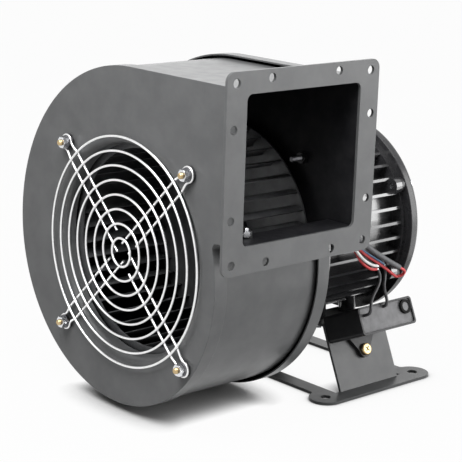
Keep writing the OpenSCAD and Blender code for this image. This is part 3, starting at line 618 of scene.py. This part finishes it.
def turn_screws(name, node, slot, finish, outline, seats, stand):
    """One screw at each seat, its outline spun round the way that it stands."""
    axis = stand.to_3x3() @ Vector((0.0, 0.0, 1.0))
    bm = bmesh.new()
    for seat in seats:
        spot = Matrix.Translation(seat * MM) @ stand
        corners = [bm.verts.new(spot @ (Vector((radius, 0.0, up)) * MM)) for radius, up in outline]
        line = [bm.edges.new(pair) for pair in zip(corners, corners[1:])]
        bmesh.ops.spin(
            bm, geom=corners + line, cent=seat * MM, axis=axis, angle=math.tau, steps=SCREW_SIDES,
            use_merge=True,
        )
    bmesh.ops.remove_doubles(bm, verts=bm.verts, dist=MERGE * MM)
    bmesh.ops.recalc_face_normals(bm, faces=bm.faces)
    screws = keep_mesh(name, bm)
    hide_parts(node)
    fix_to_housing(screws, slot, finish)


def cover_screw_seats(node):
    """Four seats on a cover, under heads that face the motor."""
    low, high = node_box(node)
    across = (low.x + PAN_HEAD, high.x - PAN_HEAD)
    upright = (low.z + PAN_HEAD, high.z - PAN_HEAD)
    return [Vector((x, high.y - HEAD_HEIGHT, z)) for x in across for z in upright]


def turn_cover_screws(name, node, slot, finish):
    seats = cover_screw_seats(node)
    outline = screw_outline(seats[0].y - node_box(node)[0].y, PAN_HEAD)
    turn_screws(name, node, slot, finish, outline, seats, Matrix.Rotation(math.pi / 2, 4, "X"))


def turn_duct_screw(name, node, slot, finish):
    low, high = node_box(node)
    seat = node_middle(node)
    seat.z = low.z + HEAD_HEIGHT
    outline = screw_outline(high.z - seat.z, SMALL_HEAD)
    turn_screws(name, node, slot, finish, outline, [seat], Matrix.Identity(4))


turn_cover_screws("threaded_guard_screws", "guard_screws", "yellow_zinc", "yellow_zinc")
turn_cover_screws("threaded_motor_screws", "motor_screws", "zinc", "dull_zinc")
turn_duct_screw("threaded_duct_screw", "duct_screw", "zinc", "zinc")


# Guard legs: hairpin wires that end in an eye round each guard screw

GUARD_WIRE = 1.6
LEG_COUNT = 4
LEG_FIRST = math.radians(45)
LEG_PLANE = node_middle("guard_legs").y
LEG_LONG_START = 3.5
LEG_SHORT_START = 14.0
LEG_HALF_GAP = 4.7
# Distance of a guard screw from the shaft's line
EYE_AT = (node_box("guard_screws")[1].x - PAN_HEAD) / math.cos(LEG_FIRST)
EYE_RADIUS = 4.8
EYE_TURN = math.radians(130)
EYE_STEPS = 12
# Along a leg from its eye's centre, and across it
EYE_NECK = [(-14.0, LEG_HALF_GAP), (-11.0, 4.45), (-8.0, 3.8), (-5.5, 3.4)]
HAIRPIN_STEPS = 3


def bend_hairpin(turn):
    """Down one side of a leg, round the eye and back up the other, in metres."""
    out = Vector((math.cos(turn), 0.0, math.sin(turn)))
    side = Vector((-math.sin(turn), 0.0, math.cos(turn)))
    hub = Vector((0.0, LEG_PLANE, SHAFT_HEIGHT))

    neck = [(EYE_AT + along, across) for along, across in EYE_NECK]
    eye = []
    for k in range(EYE_STEPS + 1):
        bend = EYE_TURN * (1 - 2 * k / EYE_STEPS)
        eye.append((EYE_AT + EYE_RADIUS * math.cos(bend), EYE_RADIUS * math.sin(bend)))
    back = [(along, -across) for along, across in reversed(neck)]

    start = hub + out * LEG_LONG_START + side * LEG_HALF_GAP
    end = hub + out * LEG_SHORT_START - side * LEG_HALF_GAP
    knots = [hub + out * along + side * across for along, across in neck + eye + back]
    return [start * MM] + smooth_route(knots, HAIRPIN_STEPS) + [end * MM]


def bend_guard_legs():
    turns = [LEG_FIRST + math.tau * k / LEG_COUNT for k in range(LEG_COUNT)]
    legs = round_wire("hairpin_guard_legs", [bend_hairpin(turn) for turn in turns], GUARD_WIRE)
    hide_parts("guard_legs")
    fix_to_housing(legs, "guard_wire", "guard_wire")


bend_guard_legs()


# Sheet and moulded pieces with their sharp edges eased

FLANGE_EASE = 0.3
BRACKET_EASE = 0.3
COVER_EASE = 0.4
WRAPPER_EASE = 0.2
CASE_EASE = 0.25
EASE_SEGMENTS = 2
EASE_ANGLE = math.radians(40)
FLAT_ANGLE = math.radians(0.5)


def ease_edges(name, node, width, *finish_names, second=None):
    """A merged copy of a solid; faces that the second test picks take the second finish."""
    bm = bmesh.new()
    bm.from_mesh(nodes[node].data)
    bmesh.ops.remove_doubles(bm, verts=bm.verts, dist=MERGE * MM)
    bmesh.ops.dissolve_limit(bm, angle_limit=FLAT_ANGLE, verts=bm.verts, edges=bm.edges)
    bmesh.ops.recalc_face_normals(bm, faces=bm.faces)
    piece = keep_mesh(name, bm)
    bevel = piece.modifiers.new("eased_edges", "BEVEL")
    bevel.width = width * MM
    bevel.segments = EASE_SEGMENTS
    bevel.limit_method = "ANGLE"
    bevel.angle_limit = EASE_ANGLE
    bevel.harden_normals = True
    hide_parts(node)
    fix_to_housing(piece, finish_names[0], *finish_names)
    for face in piece.data.polygons:
        face.material_index = 1 if second and second(face) else 0


# The casing's inside faces take a near-black finish with little sheen: painted shade inside the casing
# and its outlet duct

INSIDE_DEPTH = 3 * SHEET
# Share of a face's direction that lies along the shaft
FLAT_SHARE = 0.9
WALL_SHARE = 0.5


def in_front_cover(face):
    return face.normal.y > FLAT_SHARE and face.center.y < (COVER_FRONT + INSIDE_DEPTH) * MM


def in_back_cover(face):
    return face.normal.y < -FLAT_SHARE and face.center.y > (COVER_BACK - INSIDE_DEPTH) * MM


def in_wrapper(face):
    """Inside faces look towards the shaft or, in the outlet duct, towards its middle."""
    middle = Vector((0.0, face.center.y, SHAFT_HEIGHT * MM))
    if face.center.x > 0.0 and face.center.z > DUCT_FLOOR * MM:
        middle = Vector((face.center.x, face.center.y, DUCT_MIDDLE * MM))
    return face.normal.dot(middle - face.center) > 0.0 and abs(face.normal.y) < WALL_SHARE


# The ring round the boss on the capacitor's face takes a matt black finish round a light centre: painted
# shade of a recess

LEG_FOOT = 63.0
LEG_LEAN = math.radians(24)
BOSS_ALONG = 17.8
BOSS_UP = 48.8
BOSS_RADIUS = 5.0
BOSS_MARGIN = 0.2


def on_boss(face):
    up_leg = Vector((-math.sin(LEG_LEAN), 0.0, math.cos(LEG_LEAN)))
    off_leg = Vector((math.cos(LEG_LEAN), 0.0, math.sin(LEG_LEAN)))
    centre = (Vector((LEG_FOOT, BOSS_ALONG, 0.0)) + up_leg * BOSS_UP) * MM
    away = face.center - centre
    away -= off_leg * away.dot(off_leg)
    return away.length < (BOSS_RADIUS + BOSS_MARGIN) * MM


ease_edges("eased_flange", "outlet_flange", FLANGE_EASE, "casing_paint")
ease_edges("eased_bracket", "support_bracket", BRACKET_EASE, "bracket_paint")
# The boss ring takes the painted shade finish
ease_edges("eased_capacitor_case", "capacitor_case", CASE_EASE, "cap_case", "boss_ring_shade", second=on_boss)
# The inside faces of the sheet pieces take the painted shade finish
for sheet_name, sheet_node, sheet_ease, sheet_inside in (
    ("eased_front_cover", "front_cover", COVER_EASE, in_front_cover),
    ("eased_back_cover", "back_cover", COVER_EASE, in_back_cover),
    ("eased_wrapper", "scroll_wrapper", WRAPPER_EASE, in_wrapper),
):
    ease_edges(sheet_name, sheet_node, sheet_ease, "casing_paint", "casing_inside_shade", second=sheet_inside)


# Floor, white surroundings and light, in metres and watts

WHITE = (1.0, 1.0, 1.0, 1.0)
FLOOR_HALF = 3.0
FLOOR_BLOTCH = 6.0
FLOOR_DARK = (0.40, 0.40, 0.40)
FLOOR_LIGHT = (0.43, 0.43, 0.43)
FLOOR_ROUGHNESS = 0.9
FLOOR_WHITE_SHARE = 0.97
CONTACT_REACH = 0.02
CONTACT_SHADE = (0.45, 0.95)
FILL_STRENGTH = 0.025

LAMPS = {
    "front_softbox": dict(place=(0.15, -0.50, 0.75), aim=(0.0, -0.15, 0.15), power=8.6, size=(0.5, 0.5)),
    "side_softbox": dict(place=(0.90, 0.75, 0.45), aim=(0.0, 0.0, 0.40), power=14.0, size=(1.0, 0.9)),
    "top_softbox": dict(place=(0.0, 0.1, 1.45), aim=(0.0, 0.0, 0.11), power=1.0, size=(1.0, 1.0)),
    "back_softbox": dict(place=(-0.95, 0.86, 0.42), aim=(0.0, 0.0, 0.30), power=1.0, size=(0.9, 0.6)),
    "low_card": dict(place=(0.38, 0.32, 0.01), aim=(0.38, 0.32, 1.0), power=1.5, size=(0.5, 0.5)),
}


def join_values(tree, operation, first, second):
    joined = add_node(tree, "ShaderNodeMath", operation=operation)
    tree.links.new(first, joined.inputs[0])
    tree.links.new(second, joined.inputs[1])
    return joined.outputs["Value"]


def join_shaders(tree, share, first, second):
    mix = add_node(tree, "ShaderNodeMixShader")
    tree.links.new(share, mix.inputs["Fac"])
    tree.links.new(first, mix.inputs[1])
    tree.links.new(second, mix.inputs[2])
    return mix.outputs["Shader"]


def seen_or_mirrored(tree):
    """1 for what the camera sees, straight or in a mirror or clear piece."""
    ray = add_node(tree, "ShaderNodeLightPath").outputs
    seen = join_values(tree, "MAXIMUM", ray["Is Camera Ray"], ray["Is Glossy Ray"])
    return join_values(tree, "MAXIMUM", seen, ray["Is Transmission Ray"])


def make_floor():
    """White where it is seen, but for the shade close to the blower."""
    bm = bmesh.new()
    bmesh.ops.create_grid(bm, x_segments=1, y_segments=1, size=FLOOR_HALF)
    floor = keep_mesh("floor", bm)
    material, tree, shader, place = blank_finish("white_floor")
    colour = mottle(tree, place, FLOOR_BLOTCH, FLOOR_DARK, FLOOR_LIGHT)
    tree.links.new(colour, shader.inputs["Base Color"])
    shader.inputs["Roughness"].default_value = FLOOR_ROUGHNESS
    glow = add_node(tree, "ShaderNodeEmission", Color=WHITE, Strength=1.0)
    clear = open_share(tree, CONTACT_REACH, CONTACT_SHADE, FLOOR_WHITE_SHARE)
    share = join_values(tree, "MULTIPLY", seen_or_mirrored(tree), clear)
    surface = join_shaders(tree, share, shader.outputs["BSDF"], glow.outputs["Emission"])
    tree.links.new(surface, tree.nodes["Material Output"].inputs["Surface"])
    floor.data.materials.append(material)


def make_surroundings():
    """White where they are seen, with a weak fill on the blower."""
    world = bpy.data.worlds.new("white_studio")
    bpy.context.scene.world = world
    world.use_nodes = True
    tree = world.node_tree
    fill = tree.nodes["Background"]
    fill.inputs["Color"].default_value = WHITE
    fill.inputs["Strength"].default_value = FILL_STRENGTH
    seen = add_node(tree, "ShaderNodeBackground", Color=WHITE, Strength=1.0)
    both = join_shaders(
        tree, seen_or_mirrored(tree), fill.outputs["Background"], seen.outputs["Background"]
    )
    tree.links.new(both, tree.nodes["World Output"].inputs["Surface"])


def hang_lamp(name, place, aim, power, size):
    lamp = bpy.data.lights.new(name, "AREA")
    lamp.shape = "RECTANGLE"
    lamp.size, lamp.size_y = size
    lamp.energy = power
    place, aim = Vector(place), Vector(aim)
    turn = (place - aim).to_track_quat("Z", "Y").to_matrix().to_4x4()
    add_piece(name, lamp).matrix_world = Matrix.Translation(place) @ turn


make_floor()
make_surroundings()
for lamp_name, lamp_values in LAMPS.items():
    hang_lamp(lamp_name, **lamp_values)

bpy.context.scene.view_settings.view_transform = "Standard"
